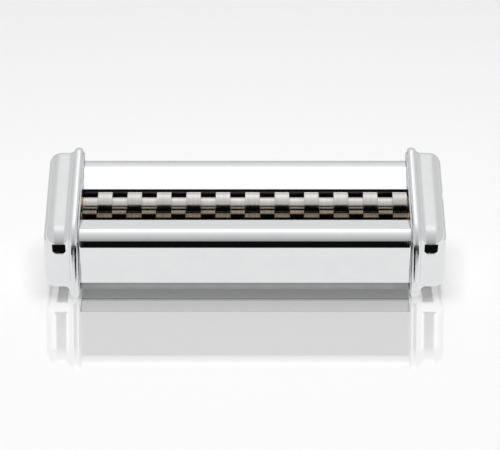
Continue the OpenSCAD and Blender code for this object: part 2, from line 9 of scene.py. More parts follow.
import bpy
import bmesh
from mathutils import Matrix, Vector


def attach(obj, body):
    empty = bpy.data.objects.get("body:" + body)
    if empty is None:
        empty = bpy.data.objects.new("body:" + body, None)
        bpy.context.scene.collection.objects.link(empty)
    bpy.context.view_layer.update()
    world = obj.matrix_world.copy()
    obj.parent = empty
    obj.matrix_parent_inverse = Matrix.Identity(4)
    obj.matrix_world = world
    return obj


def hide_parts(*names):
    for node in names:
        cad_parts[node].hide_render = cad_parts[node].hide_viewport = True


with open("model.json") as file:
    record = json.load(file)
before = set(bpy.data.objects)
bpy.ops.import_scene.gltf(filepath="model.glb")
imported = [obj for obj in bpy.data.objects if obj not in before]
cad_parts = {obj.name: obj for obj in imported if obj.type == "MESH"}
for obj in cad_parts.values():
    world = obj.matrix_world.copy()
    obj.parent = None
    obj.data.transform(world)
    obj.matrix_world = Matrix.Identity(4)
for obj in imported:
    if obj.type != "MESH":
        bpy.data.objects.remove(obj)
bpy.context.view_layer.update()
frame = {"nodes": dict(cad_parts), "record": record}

MM = 0.001

# ---- Sizes of the part, in millimetres ------------------------------------------

CUT_L, RING_COUNT, RING_R, GROOVE_DEPTH = 143.0, 11, 6.2, 2.2
NIP_GAP, RING_SIDE_GAP, SHAFT_R, NIP_Y = 0.1, 0.05, 3.0, -2.9
RING_RISE, PAIR_LEAN, TAB_W = 4.75, 18.8, 4.0
SHEET_T, BEND_R, CREST_R, BACK_R, FOOT_R, FOOT_L, FOOT_Z = 0.8, 5.2, 16.0, 4.0, 1.4, 3.6, 3.3
FRONT_TOP_DROP, FRONT_INSET, FRONT_LEAN, FRONT_SLOT_GAP = 3.8, 2.0, 26.0, 3.3
REAR_INSET, REAR_RISE, REAR_SLOPE, REAR_LEAN, REAR_SLOT_GAP = 2.3, 10.3, 30.0, 10.0, 1.1
CREST_IN, CREST_FALL = 7.0, 12.0
CAP_DEPTH, CAP_H, CAP_FRONT_R, CAP_REAR_R, CAP_FOOT_R = 68.6, 49.0, 11.5, 8.0, 3.0
CAP_SLOPE, CAP_LEAN, CAP_REAR_LEAN = 14.5, 12.0, 5.0
RIM_T, RIM_EDGE_R, RIM_STEP, SHELL_FOOT_Z, SHELL_L = 3.6, 1.3, 2.4, 3.8, 11.3
SHELL_EDGE_R, SHELL_FOOT_R, CAP_WALL = 5.2, 4.6, 1.5
PLATE_T, PLATE_GAP, PLATE_INSET, PLATE_PROUD, SLOT_GAP = 1.5, 0.5, 2.1, 0.6, 0.2
BUSH_FLANGE_T, GEAR_W, GEAR_HUB_L, PIN_R = 2.0, 5.0, 3.4, 0.8
SOCKET_R, SOCKET_GAP, CRANK_DEPTH, SEAT_GAP = 5.6, 0.6, 7.4, 0.02
SCREW_R, SCREW_HEAD_R, SCREW_HEAD_H = 2.0, 3.8, 2.4
FRONT_TIE_DROP, COMB_OUT, TOP_TIE_IN, TOP_TIE_DROP, LOW_TIE_IN, LOW_TIE_Z = 12.0, 5.4, 10.5, 12.7, 12.0, 15.0
HOOK_IN, HOOK_W, HOOK_BASE_W, HOOK_BASE_L, HOOK_TOP_Z, RIVET_R = 20.0, 12.0, 26.0, 14.0, 24.0, 1.5


def sin_d(a):
    return math.sin(math.radians(a))


def cos_d(a):
    return math.cos(math.radians(a))


def vec(y, z):
    return Vector((y, z))


RING_W = CUT_L / RING_COUNT / 2
PLATE_X = CUT_L / 2 + PLATE_GAP
PLATE_OUT_X = PLATE_X + PLATE_T
BUSH_OUT_X = PLATE_OUT_X + BUSH_FLANGE_T
RIM_X = PLATE_X + PLATE_PROUD
SHELL_X = RIM_X + RIM_T
CAP_X = SHELL_X + SHELL_L
RECESS_X = PLATE_OUT_X + SLOT_GAP
COVER_X = PLATE_X - 0.1
GEAR_END_X = BUSH_OUT_X + 0.5 + GEAR_W + GEAR_HUB_L
GEAR_PIN_X = GEAR_END_X - GEAR_HUB_L / 2
SOCKET_X = BUSH_OUT_X + 0.4
SOCKET_SEAT_X = CAP_X - 0.5 - CRANK_DEPTH
SOCKET_PIN_X = (SOCKET_X + SOCKET_SEAT_X) / 2
CLIP_X, CLIP_T, CLIP_SLOT_DEPTH = BUSH_OUT_X + 0.3, 0.8, 0.6
STUB_END_X = CLIP_X + CLIP_T + 1.6

# The four sides of the cap, as (unit normal, distance)
CAP_FRONT_CENTRE_Y = CAP_FRONT_R - CAP_DEPTH / 2
CAP_REAR_CENTRE = vec(CAP_DEPTH / 2 - CAP_REAR_R, CAP_H - CAP_REAR_R)
TOP_NORMAL = vec(-sin_d(CAP_SLOPE), cos_d(CAP_SLOPE))
CAP_TOP_SIDE = (TOP_NORMAL, TOP_NORMAL.dot(CAP_REAR_CENTRE) + CAP_REAR_R)
CAP_FRONT_CENTRE = vec(CAP_FRONT_CENTRE_Y,
                       (CAP_TOP_SIDE[1] - CAP_FRONT_R + sin_d(CAP_SLOPE) * CAP_FRONT_CENTRE_Y)
                       / cos_d(CAP_SLOPE))
FRONT_NORMAL = vec(-cos_d(CAP_LEAN), -sin_d(CAP_LEAN))
CAP_FRONT_SIDE = (FRONT_NORMAL, FRONT_NORMAL.dot(CAP_FRONT_CENTRE) + CAP_FRONT_R)
REAR_NORMAL = vec(cos_d(CAP_REAR_LEAN), -sin_d(CAP_REAR_LEAN))
CAP_REAR_SIDE = (REAR_NORMAL, REAR_NORMAL.dot(CAP_REAR_CENTRE) + CAP_REAR_R)
CAP_FOOT_SIDE = (vec(0, -1), 0.0)

FRONT_Y = FRONT_INSET - CAP_DEPTH / 2
REAR_Y = CAP_DEPTH / 2 - REAR_INSET
FRONT_TOP_Z = CAP_FRONT_CENTRE.y + CAP_FRONT_R - FRONT_TOP_DROP
GROOVE_R = RING_R - GROOVE_DEPTH
AXIS_DIST = RING_R + GROOVE_R + NIP_GAP
REAR_AXIS = vec(NIP_Y + AXIS_DIST / 2 * cos_d(PAIR_LEAN), FRONT_TOP_Z + RING_RISE - RING_R)
FRONT_AXIS = REAR_AXIS - AXIS_DIST * vec(cos_d(PAIR_LEAN), sin_d(PAIR_LEAN))
FRONT_SLOT_Y = FRONT_AXIS.x - RING_R - FRONT_SLOT_GAP
REAR_SLOT_Y = REAR_AXIS.x + RING_R + REAR_SLOT_GAP

FRONT_BEND = vec(FRONT_Y + BEND_R, FRONT_TOP_Z - BEND_R)
FACE_NORMAL = vec(-cos_d(FRONT_LEAN), -sin_d(FRONT_LEAN))
FACE_SIDE = (FACE_NORMAL, FACE_NORMAL.dot(FRONT_BEND) + BEND_R)
LIP_SIDE = (vec(0, 1), FRONT_TOP_Z)
CREST = vec(REAR_Y - CREST_IN, FRONT_TOP_Z + REAR_RISE - CREST_R)
SLOPE_NORMAL = vec(-sin_d(REAR_SLOPE), cos_d(REAR_SLOPE))
SLOPE_SIDE = (SLOPE_NORMAL, SLOPE_NORMAL.dot(CREST) + CREST_R)
CREST_NORMAL = vec(sin_d(CREST_FALL), cos_d(CREST_FALL))
CREST_SIDE = (CREST_NORMAL, CREST_NORMAL.dot(CREST) + CREST_R)

FRONT_TIE_Z = FRONT_AXIS.y - FRONT_TIE_DROP
FACE_Y_AT_TIE = (FACE_SIDE[1] - SHEET_T - FACE_NORMAL.y * FRONT_TIE_Z) / FACE_NORMAL.x
TIE_PLACES = [
    vec((FACE_Y_AT_TIE + FRONT_AXIS.x - COMB_OUT) / 2, FRONT_TIE_Z),
    vec(REAR_Y - TOP_TIE_IN, FRONT_TOP_Z + REAR_RISE - TOP_TIE_DROP),
    vec(REAR_Y - LOW_TIE_IN, LOW_TIE_Z),
]
SCREW_SEAT_X = CAP_X - SCREW_HEAD_H - 0.2
POST_R = SCREW_R + 1.6
BOSS_R = SCREW_HEAD_R + 1.7
BOSS_X = SCREW_SEAT_X - 2

# ---- Outlines in the Y-Z plane --------------------------------------------------

CORNER_STEPS = 28          # arc pieces of a cap's corner
BEND_STEPS = 56            # arc pieces of a cover's big bend
SMALL_STEPS = 10           # arc pieces of a small bend
SUPPORT = 0.25             # a flat side has a point this close to each end, to keep it flat


def meet(a, b):
    """Point where two lines meet, each given as (unit normal, distance)."""
    det = a[0].x * b[0].y - a[0].y * b[0].x
    return vec((a[1] * b[0].y - b[1] * a[0].y) / det, (a[0].x * b[1] - b[0].x * a[1]) / det)


def corner_arc(a, b, c, r, steps):
    """Arc of radius r that rounds the corner at b between a and c, with its flat supports."""
    u, v = (a - b).normalized(), (c - b).normalized()
    half = math.acos(max(-1.0, min(1.0, u.dot(v)))) / 2
    reach = r / math.tan(half)
    centre = b + (u + v).normalized() * r / math.sin(half)
    start, end = b + u * reach - centre, b + v * reach - centre
    a0 = math.atan2(start.y, start.x)
    turn = math.atan2(end.y, end.x) - a0
    turn = (turn + math.pi) % (2 * math.pi) - math.pi
    arc = [centre + r * vec(math.cos(a0 + turn * i / steps), math.sin(a0 + turn * i / steps))
           for i in range(steps + 1)]
    before = [b + u * (reach + SUPPORT)] if (a - b).length > 3 * (reach + SUPPORT) else []
    after = [b + v * (reach + SUPPORT)] if (c - b).length > 3 * (reach + SUPPORT) else []
    return before, arc, after


def rounded(corners, radii, steps, supports=True):
    """Closed outline through sharp corners, each rounded by its own radius."""
    points = []
    n = len(corners)
    for i in range(n):
        before, arc, after = corner_arc(corners[i - 1], corners[i], corners[(i + 1) % n], radii[i],
                                        steps[i])
        if supports:
            points += before + arc + after
        else:
            points += arc
    return points


def cap_outline(d, foot_d, foot_r):
    """Outline of the cap moved in by d, its foot by foot_d, every corner on its own radius."""
    def moved(side, by):
        return (side[0], side[1] - by)
    front, top, rear = (moved(s, d) for s in (CAP_FRONT_SIDE, CAP_TOP_SIDE, CAP_REAR_SIDE))
    foot = moved(CAP_FOOT_SIDE, foot_d)
    corners = [meet(foot, front), meet(front, top), meet(top, rear), meet(rear, foot)]
    radii = [max(r, 0.6) for r in (foot_r, CAP_FRONT_R - d, CAP_REAR_R - d, foot_r)]
    points = []
    for i in range(4):
        a, b, c = corners[i - 1], corners[i], corners[(i + 1) % 4]
        u, v = (a - b).normalized(), (c - b).normalized()
        half = math.acos(u.dot(v)) / 2
        reach = radii[i] / math.tan(half)
        _, arc, _ = corner_arc(a, b, c, radii[i], CORNER_STEPS)
        points += [b + u * (reach + SUPPORT)] + arc + [b + v * (reach + SUPPORT)]
    return points


def offset_path(path, t):
    """The sharp open path moved sideways by t, to its left."""
    out = []
    last = len(path) - 1
    for i, p in enumerate(path):
        steps = []
        for a, b in ((max(i - 1, 0), max(i, 1)), (min(i, last - 1), min(i + 1, last))):
            d = (path[b] - path[a]).normalized()
            steps.append(vec(-d.y, d.x))
        out.append(p + t * (steps[0] + steps[1]) / (1 + steps[0].dot(steps[1])))
    return out


def sheet_outline(path, t, bends, edge_r=0.28):
    """Closed outline of folded sheet metal: the sharp path is its outer side, bends the radii."""
    corners = path + offset_path(path, t)[::-1]
    radii = [edge_r, *bends, edge_r, edge_r, *[r - SHEET_T for r in bends[::-1]], edge_r]
    steps = [BEND_STEPS if r > FOOT_R else SMALL_STEPS for r in radii]
    return rounded(corners, radii, steps)


FRONT_CORNER = meet(FACE_SIDE, LIP_SIDE)
FRONT_FOOT = meet(FACE_SIDE, (vec(0, -1), -FOOT_Z))
FRONT_PATH = [vec(FRONT_SLOT_Y, FRONT_TOP_Z), FRONT_CORNER, FRONT_FOOT, FRONT_FOOT - FOOT_L * FACE_NORMAL]
FRONT_BENDS = [BEND_R, FOOT_R]
BACK_BEND = meet((CREST_NORMAL, CREST_SIDE[1] - BACK_R), (vec(1, 0), REAR_Y - BACK_R))
BACK_NORMAL = vec(cos_d(REAR_LEAN), -sin_d(REAR_LEAN))
BACK_SIDE = (BACK_NORMAL, BACK_NORMAL.dot(BACK_BEND) + BACK_R)
REAR_EDGE = meet(SLOPE_SIDE, (vec(1, 0), REAR_SLOT_Y))
BACK_CORNER = meet(CREST_SIDE, BACK_SIDE)
REAR_FOOT = meet(BACK_SIDE, (vec(0, -1), -FOOT_Z))
REAR_PATH = [REAR_EDGE, meet(SLOPE_SIDE, CREST_SIDE), BACK_CORNER, REAR_FOOT,
             REAR_FOOT - FOOT_L * BACK_NORMAL]
REAR_BENDS = [CREST_R, BACK_R, FOOT_R]

# ---- Mesh makers ----------------------------------------------------------------

SMOOTH_ANGLE = math.radians(24)


def new_object(name, verts, faces):
    """A mesh object from points in millimetres, with outward normals."""
    mesh = bpy.data.meshes.new(name)
    mesh.from_pydata([Vector(v) * MM for v in verts], [], faces)
    bm = bmesh.new()
    bm.from_mesh(mesh)
    bmesh.ops.recalc_face_normals(bm, faces=bm.faces)
    bm.to_mesh(mesh)
    bm.free()
    obj = bpy.data.objects.new(name, mesh)
    bpy.context.scene.collection.objects.link(obj)
    return obj


def loft(name, rings):
    """Closed solid through rings of equally many points, each ring an x and an outline."""
    n = len(rings[0][1])
    verts = [(x, p.x, p.y) for x, outline in rings for p in outline]
    last = (len(rings) - 1) * n
    faces = [list(range(n))[::-1], [last + i for i in range(n)]]
    for k in range(len(rings) - 1):
        for i in range(n):
            a, b = k * n + i, k * n + (i + 1) % n
            faces.append([a, b, b + n, a + n])
    return new_object(name, verts, faces)


def lathe(name, profile, axis, segments=96):
    """Closed solid of revolution about the X line through axis, profile a list of (x, r)."""
    verts, faces = [], []
    for x, r in profile:
        for i in range(segments):
            t = 2 * math.pi * i / segments
            verts.append((x, axis[0] + r * math.cos(t), axis[1] + r * math.sin(t)))
    last = (len(profile) - 1) * segments
    faces.append(list(range(segments))[::-1])
    faces.append([last + i for i in range(segments)])
    for k in range(len(profile) - 1):
        for i in range(segments):
            a, b = k * segments + i, k * segments + (i + 1) % segments
            faces.append([a, b, b + segments, a + segments])
    return new_object(name, verts, faces)


def slab(name, outline, x0, x1):
    """A Y-Z outline extruded from x0 to x1."""
    return loft(name, [(x0, outline), (x1, outline)])


def rod(name, start, end, r, segments=32):
    """A round bar between two points in space."""
    start, end = Vector(start), Vector(end)
    d = (end - start).normalized()
    u = d.orthogonal().normalized()
    w = d.cross(u)
    verts = [p + r * (u * math.cos(2 * math.pi * i / segments) + w * math.sin(2 * math.pi * i / segments))
             for p in (start, end) for i in range(segments)]
    faces = [list(range(segments))[::-1], [segments + i for i in range(segments)]]
    faces += [[i, (i + 1) % segments, segments + (i + 1) % segments, segments + i]
              for i in range(segments)]
    return new_object(name, verts, faces)


def combine(obj, tools, operation):
    """Boolean of obj with each tool in turn; the tools are used up."""
    for tool in tools:
        modifier = obj.modifiers.new("combine", "BOOLEAN")
        modifier.operation = operation
        modifier.solver = "EXACT"
        modifier.object = tool
        depsgraph = bpy.context.evaluated_depsgraph_get()
        mesh = bpy.data.meshes.new_from_object(obj.evaluated_get(depsgraph))
        obj.modifiers.remove(modifier)
        old = obj.data
        obj.data = mesh
        mesh.name = obj.name
        bpy.data.meshes.remove(old)
        bpy.data.objects.remove(tool)
    return obj


def smooth(obj, angle=SMOOTH_ANGLE):
    obj.data.shade_smooth()
    obj.data.set_sharp_from_angle(angle=angle)
    return obj


def flip_x(obj):
    """Mirrors the mesh across X = 0."""
    bm = bmesh.new()
    bm.from_mesh(obj.data)
    for v in bm.verts:
        v.co.x = -v.co.x
    bmesh.ops.reverse_faces(bm, faces=bm.faces)
    bm.to_mesh(obj.data)
    bm.free()
    return obj


# ---- Materials ------------------------------------------------------------------


class Nodes:
    """Short names for building a material's node tree."""

    def __init__(self, name):
        self.material = bpy.data.materials.new(name)
        self.material.use_nodes = True
        self.tree = self.material.node_tree
        self.shader = self.tree.nodes["Principled BSDF"]

    def add(self, kind, **values):
        node = self.tree.nodes.new(kind)
        for key, value in values.items():
            if hasattr(node, key):
                setattr(node, key, value)
            else:
                node.inputs[key.replace("_", " ")].default_value = value
        return node

    def link(self, source, target):
        self.tree.links.new(source, target)

    def noise(self, scale, stretch=(1, 1, 1), detail=3.0, roughness=0.55):
        """Noise in the row frame: scale is its features per metre, stretch is per axis."""
        coords = self.add("ShaderNodeTexCoord")
        mapping = self.add("ShaderNodeMapping")
        mapping.inputs["Scale"].default_value = [scale * s for s in stretch]
        noise = self.add("ShaderNodeTexNoise", Scale=1.0, Detail=detail, Roughness=roughness)
        self.link(coords.outputs["Object"], mapping.inputs["Vector"])
        self.link(mapping.outputs["Vector"], noise.inputs["Vector"])
        return noise.outputs["Fac"]

    def span(self, value, low, high, from_low=0.3, from_high=0.7):
        """value carried from one range to another."""
        node = self.add("ShaderNodeMapRange")
        ends = (("From Min", from_low), ("From Max", from_high), ("To Min", low), ("To Max", high))
        for key, number in ends:
            node.inputs[key].default_value = number
        self.link(value, node.inputs["Value"])
        return node.outputs["Result"]

    def between(self, factor, a, b):
        """Colour mixed from a to b by factor."""
        node = self.add("ShaderNodeMix", data_type="RGBA")
        node.inputs[6].default_value = (*a, 1)
        node.inputs[7].default_value = (*b, 1)
        self.link(factor, node.inputs[0])
        return node.outputs[2]

    def bump(self, height, distance, strength=1.0):
        node = self.add("ShaderNodeBump", Strength=strength, Distance=distance)
        self.link(height, node.inputs["Height"])
        self.link(node.outputs["Normal"], self.shader.inputs["Normal"])


def metal(name, dark, pale, rough, grain, stretch=(1, 1, 1), bump=0.0, detail=3.0):
    """A bare or plated metal whose tone and roughness vary with one grain."""
    n = Nodes(name)
    n.shader.inputs["Metallic"].default_value = 1.0
    grain_value = n.noise(grain, stretch, detail)
    n.link(n.between(n.span(grain_value, 0, 1), dark, pale), n.shader.inputs["Base Color"])
    n.link(n.span(n.noise(grain * 0.35, stretch, detail), rough[0], rough[1]), n.shader.inputs["Roughness"])
    if bump:
        n.bump(grain_value, bump)
    return n.material


def chrome(name, rough):
    """Polished plating: almost a mirror, with the faint waviness of pressed sheet."""
    n = Nodes(name)
    n.shader.inputs["Metallic"].default_value = 1.0
    smudge = n.noise(90, detail=4.0)
    n.link(n.between(n.span(smudge, 0, 1), (0.84, 0.845, 0.855), (0.87, 0.873, 0.88)),
           n.shader.inputs["Base Color"])
    n.link(n.span(n.noise(420, detail=4.0), *rough), n.shader.inputs["Roughness"])
    n.bump(n.noise(160, detail=1.0), 0.00002, 0.12)
    return n.material


def turned_steel(name, dark, pale, rough):
    """Lathe-turned steel: fine rings around the roller spread the light along X."""
    n = Nodes(name)
    n.shader.inputs["Metallic"].default_value = 1.0
    n.shader.inputs["Anisotropic"].default_value = 0.3
    n.shader.inputs["Anisotropic Rotation"].default_value = 0.25
    tangent = n.add("ShaderNodeTangent", direction_type="RADIAL", axis="X")
    n.link(tangent.outputs["Tangent"], n.shader.inputs["Tangent"])
    rings = n.noise(3600, (1, 0.004, 0.004), detail=2.0)
    n.link(n.between(n.span(rings, 0, 1), dark, pale), n.shader.inputs["Base Color"])
    n.link(n.span(n.noise(900, (1, 0.05, 0.05)), *rough), n.shader.inputs["Roughness"])
    n.bump(rings, 0.00001, 0.35)
    return n.material


MATERIALS = {
    "cap_chrome": chrome("cap_chrome", (0.035, 0.075)),
    "rim_chrome": chrome("rim_chrome", (0.19, 0.24)),
    "roller_steel": turned_steel("roller_steel", (0.62, 0.60, 0.575), (0.75, 0.735, 0.71),
                                 (0.26, 0.34)),
    # The front roller: a darker, warm-toned copy of the roller steel; its darkness is painted shade for its
    # place low in the slot.
    "front_roller": turned_steel("front_roller_steel_shaded", (0.16, 0.125, 0.09), (0.26, 0.215, 0.165),
                                 (0.2, 0.28)),
    # The covers' inner faces: dull steel darkened as painted shade of the inside of the body.
    "cover_inside_shade": metal("cover_inside_shade", (0.13, 0.13, 0.135), (0.2, 0.2, 0.205), (0.32, 0.45), 300),
    "plate_steel": metal("plate_steel", (0.52, 0.53, 0.55), (0.66, 0.67, 0.69), (0.22, 0.34), 700,
                         bump=0.000004),
    "bush_bronze": metal("bush_bronze", (0.55, 0.36, 0.16), (0.74, 0.54, 0.28), (0.25, 0.4), 1500,
                         (1, 0.05, 0.05)),
    "gear_steel": metal("gear_steel", (0.27, 0.27, 0.28), (0.45, 0.45, 0.46), (0.25, 0.45), 900,
                        bump=0.000006),
    "pin_steel": metal("pin_steel", (0.42, 0.42, 0.43), (0.6, 0.6, 0.61), (0.18, 0.3), 2200,
                       (1, 0.06, 0.06)),
    "comb_steel": metal("comb_steel", (0.5, 0.5, 0.51), (0.64, 0.64, 0.65), (0.22, 0.34), 1400,
                        (0.04, 1, 1)),
    # The rods are darkened to near black: painted shade for the inside of the body, seen through the slot.
    "rod_steel": metal("rod_steel", (0.10, 0.10, 0.105), (0.16, 0.16, 0.165), (0.25, 0.36), 1600,
                       (0.03, 1, 1)),
    "screw_steel": metal("screw_steel", (0.58, 0.57, 0.55), (0.74, 0.73, 0.71), (0.16, 0.28), 1300),
}
MATERIALS["cover_chrome"] = MATERIALS["cap_chrome"]
MATERIALS["rear_roller"] = MATERIALS["roller_steel"]


def dress(obj, slot_name):
    obj.data.materials.clear()
    obj.data.materials.append(MATERIALS[slot_name])
    return obj


# ---- End caps -------------------------------------------------------------------

RIM_ROUND_STEPS = 8
EDGE_ROUND_STEPS = 16
RIM_END_X = RIM_X + 2.3      # where the rim's outer bead starts to fall to the shell
FALL_R = 3.0                 # radius of the hollow between the bead and the shell


def rim_ring(x, d):
    return (x, cap_outline(d, d, CAP_FOOT_R - d))


def shell_ring(x, d):
    """Ring of the outer shell, d further in than the shell's flat side."""
    return (x, cap_outline(RIM_STEP + d, SHELL_FOOT_Z + d, SHELL_FOOT_R - d))


def cap_body(name):
    """The outside of a cap: a rolled rim that falls in one sweep to the shell, and a soft far edge."""
    rings = []
    for i in range(RIM_ROUND_STEPS + 1):
        t = 90 - 90 * i / RIM_ROUND_STEPS
        rings.append(rim_ring(RIM_X + RIM_EDGE_R * (1 - sin_d(t)), RIM_EDGE_R * (1 - cos_d(t))))
    # The bead turns by the angle at which its arc and the hollow's arc share a tangent
    turn = math.degrees(math.acos(1 - RIM_STEP / (RIM_EDGE_R + FALL_R)))
    fall = [(RIM_END_X, 0.0)]
    for i in range(1, RIM_ROUND_STEPS + 1):
        t = turn * i / RIM_ROUND_STEPS
        fall.append((RIM_END_X + RIM_EDGE_R * sin_d(t), RIM_EDGE_R * (1 - cos_d(t))))
    fall_end = RIM_END_X + (RIM_EDGE_R + FALL_R) * sin_d(turn)
    for i in range(1, RIM_ROUND_STEPS + 1):
        t = turn * (1 - i / RIM_ROUND_STEPS)
        fall.append((fall_end - FALL_R * sin_d(t), RIM_STEP - FALL_R * (1 - cos_d(t))))
    for x, d in fall:
        share = d / RIM_STEP
        rings.append((x, cap_outline(d, SHELL_FOOT_Z * share,
                                     CAP_FOOT_R + (SHELL_FOOT_R - CAP_FOOT_R) * share)))
    rings.append(shell_ring(fall_end + SUPPORT, 0.0))
    edge_x = CAP_X - SHELL_EDGE_R
    rings.append(shell_ring(edge_x - SUPPORT, 0.0))
    for i in range(EDGE_ROUND_STEPS + 1):
        t = 90 * i / EDGE_ROUND_STEPS
        rings.append(shell_ring(edge_x + SHELL_EDGE_R * sin_d(t), SHELL_EDGE_R * (1 - cos_d(t))))
    rings.append(shell_ring(CAP_X, SHELL_EDGE_R + SUPPORT))
    return loft(name, rings)


def cavity(name):
    inner_x, r = CAP_X - CAP_WALL, SHELL_EDGE_R - CAP_WALL

    def ring(x, d):
        return (x, cap_outline(RIM_STEP + CAP_WALL + d, SHELL_FOOT_Z + CAP_WALL + d,
                               SHELL_FOOT_R - CAP_WALL - d))
    rings = [ring(RIM_X - 1, 0)]
    for i in range(9):
        t = 90 * i / 8
        rings.append(ring(inner_x - r * (1 - sin_d(t)), r * (1 - cos_d(t))))
    return loft(name, rings)


def soft_rim(cap):
    """Gives the rolled rim its duller plating."""
    cap.data.materials.append(MATERIALS["rim_chrome"])
    for face in cap.data.polygons:
        if abs(face.center.x) < (RIM_END_X + 0.4) * MM:
            face.material_index = 1


def make_cap(name, right):
    cap = cap_body(name)
    recess_d = PLATE_INSET - SLOT_GAP
    recess = loft("tool", [rim_ring(RIM_X - 1, recess_d), rim_ring(RECESS_X, recess_d)])
    combine(cap, [cavity("tool"), recess], "DIFFERENCE")
    inside = CAP_X - CAP_WALL / 2
    profile = [(PLATE_OUT_X, POST_R), (BOSS_X, POST_R), (BOSS_X, BOSS_R), (inside, BOSS_R)]
    posts = [lathe("tool", profile, at, 64) for at in TIE_PLACES]
    combine(cap, posts, "UNION")
    hole, head = SCREW_R + SLOT_GAP, SCREW_HEAD_R + SLOT_GAP
    lead, past = 0.3, 0.2
    profile = [(PLATE_OUT_X - 1, hole), (SCREW_SEAT_X, hole), (SCREW_SEAT_X, head), (CAP_X - lead, head),
               (CAP_X + past, head + lead + past), (CAP_X + 1, head + lead + past)]
    holes = [lathe("tool", profile, at, 64) for at in TIE_PLACES]
    if right:
        r = SOCKET_R + SOCKET_GAP
        holes.append(lathe("tool", [(PLATE_OUT_X, r), (CAP_X - lead, r), (CAP_X + past, r + lead + past),
                                    (CAP_X + 1, r + lead + past)], REAR_AXIS, 96))
    combine(cap, holes, "DIFFERENCE")
    if not right:
        flip_x(cap)
    smooth(cap)
    dress(cap, "cap_chrome")
    soft_rim(cap)
    return cap


for side, is_right in (("left", False), ("right", True)):
    cap = make_cap(side + "_cap_shell", is_right)
    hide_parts(side + "_cap")
    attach(cap, "frame")

# ---- Covers ---------------------------------------------------------------------


def tab_outline(centre, angle):
    """Section of a tab, centred in the sheet and turned by angle degrees."""
    u, v = vec(cos_d(angle), sin_d(angle)), vec(-sin_d(angle), cos_d(angle))
    corners = ((-1, -1), (1, -1), (1, 1), (-1, 1))
    return [centre + u * a * TAB_W / 2 + v * b * SHEET_T / 2 for a, b in corners]


def add_tabs(cover, outlines):
    """Joins the tabs that hold the cover in the side plates to its two ends."""
    sunk = 0.2
    for outline in outlines:
        for x in (-PLATE_OUT_X, COVER_X - sunk):
            combine(cover, [slab("tool", outline, x, x + PLATE_OUT_X - COVER_X + sunk)], "UNION")


def make_front_cover():
    cover = slab("front_cover_sheet", sheet_outline(FRONT_PATH, SHEET_T, FRONT_BENDS), -COVER_X, COVER_X)
    face_mid = (FRONT_FOOT + FRONT_CORNER) / 2
    add_tabs(cover, [tab_outline(vec(FRONT_BEND.x + TAB_W, FRONT_TOP_Z - SHEET_T / 2), 0),
                     tab_outline(face_mid - FACE_NORMAL * SHEET_T / 2, 90 + FRONT_LEAN)])
    return cover


HOOK_X = PLATE_X - HOOK_IN
HOOK_PLACE = meet(BACK_SIDE, (vec(0, 1), HOOK_TOP_Z))
DOWN_BACK = vec(-sin_d(REAR_LEAN), -cos_d(REAR_LEAN))


def make_rear_cover():
    cover = slab("rear_cover_sheet", sheet_outline(REAR_PATH, -SHEET_T, REAR_BENDS), -COVER_X, COVER_X)
    top_mid = REAR_EDGE + TAB_W * vec(cos_d(REAR_SLOPE), sin_d(REAR_SLOPE))
    back_mid = (REAR_FOOT + BACK_CORNER) / 2
    add_tabs(cover, [tab_outline(top_mid - SLOPE_NORMAL * SHEET_T / 2, REAR_SLOPE),
                     tab_outline(back_mid - BACK_NORMAL * SHEET_T / 2, 90 - REAR_LEAN)])
    place = HOOK_PLACE + DOWN_BACK * HOOK_BASE_L / 2
    for sign in (-1, 1):
        for end in (-1, 1):
            x = sign * HOOK_X + end * (HOOK_BASE_W + HOOK_W) / 4
            a, b = place - BACK_NORMAL * 3, place + BACK_NORMAL * 3
            combine(cover, [rod("tool", (x, a.x, a.y), (x, b.x, b.y), RIVET_R + SEAT_GAP)], "DIFFERENCE")
    return cover


BODY_MIDDLE = Vector((0.0, 0.0, 20.0)) * MM


def dull_and_shade_inside(cover):
    """Gives the faces that look into the body a dull, dark steel; the darkness is painted shade of the
    body's inside.
    """
    cover.data.materials.append(MATERIALS["cover_inside_shade"])
    for face in cover.data.polygons:
        outward = face.center - BODY_MIDDLE
        outward.x = 0.0
        if face.normal.dot(outward) < 0 and abs(face.normal.x) < 0.5:
            face.material_index = 1


for cover, node in ((make_front_cover(), "front_cover"), (make_rear_cover(), "rear_cover")):
    smooth(cover)
    dress(cover, "cover_chrome")
    dull_and_shade_inside(cover)
    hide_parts(node)
    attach(cover, "frame")

# ---- Rollers --------------------------------------------------------------------

RING_SEGMENTS = 144
RING_CHAMFER = 0.14


def roller_profile(first, left_x, right_x, clip_groove):
    """(x, r) stations of a roller from its left end to its right end."""
    half = CUT_L / 2
    c = RING_CHAMFER
    profile = [(left_x, SHAFT_R - 0.4), (left_x + 0.4, SHAFT_R), (-half, SHAFT_R)]
    at_core = False
    for i in range(RING_COUNT):
        x = -half + (2 * i + first) * RING_W
        start, end = max(x + RING_SIDE_GAP, -half), min(x + RING_W - RING_SIDE_GAP, half)
        if start > -half and not at_core:
            profile += [(-half, GROOVE_R)]
        if start > -half:
            profile += [(start, GROOVE_R)]
        profile += [(start, RING_R - c), (start + c, RING_R), (end - c, RING_R), (end, RING_R - c)]
        if end < half:
            profile += [(end, GROOVE_R)]
        at_core = True
    if end < half:
        profile += [(half, GROOVE_R)]
    profile += [(half, SHAFT_R)]
    if clip_groove:
        r = SHAFT_R - CLIP_SLOT_DEPTH
        profile += [(CLIP_X, SHAFT_R), (CLIP_X, r), (CLIP_X + CLIP_T, r), (CLIP_X + CLIP_T, SHAFT_R)]
    profile += [(right_x - 0.4, SHAFT_R), (right_x, SHAFT_R - 0.4)]
    return profile


def make_roller(name, axis, first, left_x, right_x, pins, clip_groove=False):
    roller = lathe(name, roller_profile(first, left_x, right_x, clip_groove), axis, RING_SEGMENTS)
    holes = [rod("tool", (x, axis.x, axis.y - 6), (x, axis.x, axis.y + 6), PIN_R + SEAT_GAP) for x in pins]
    combine(roller, holes, "DIFFERENCE")
    return smooth(roller)


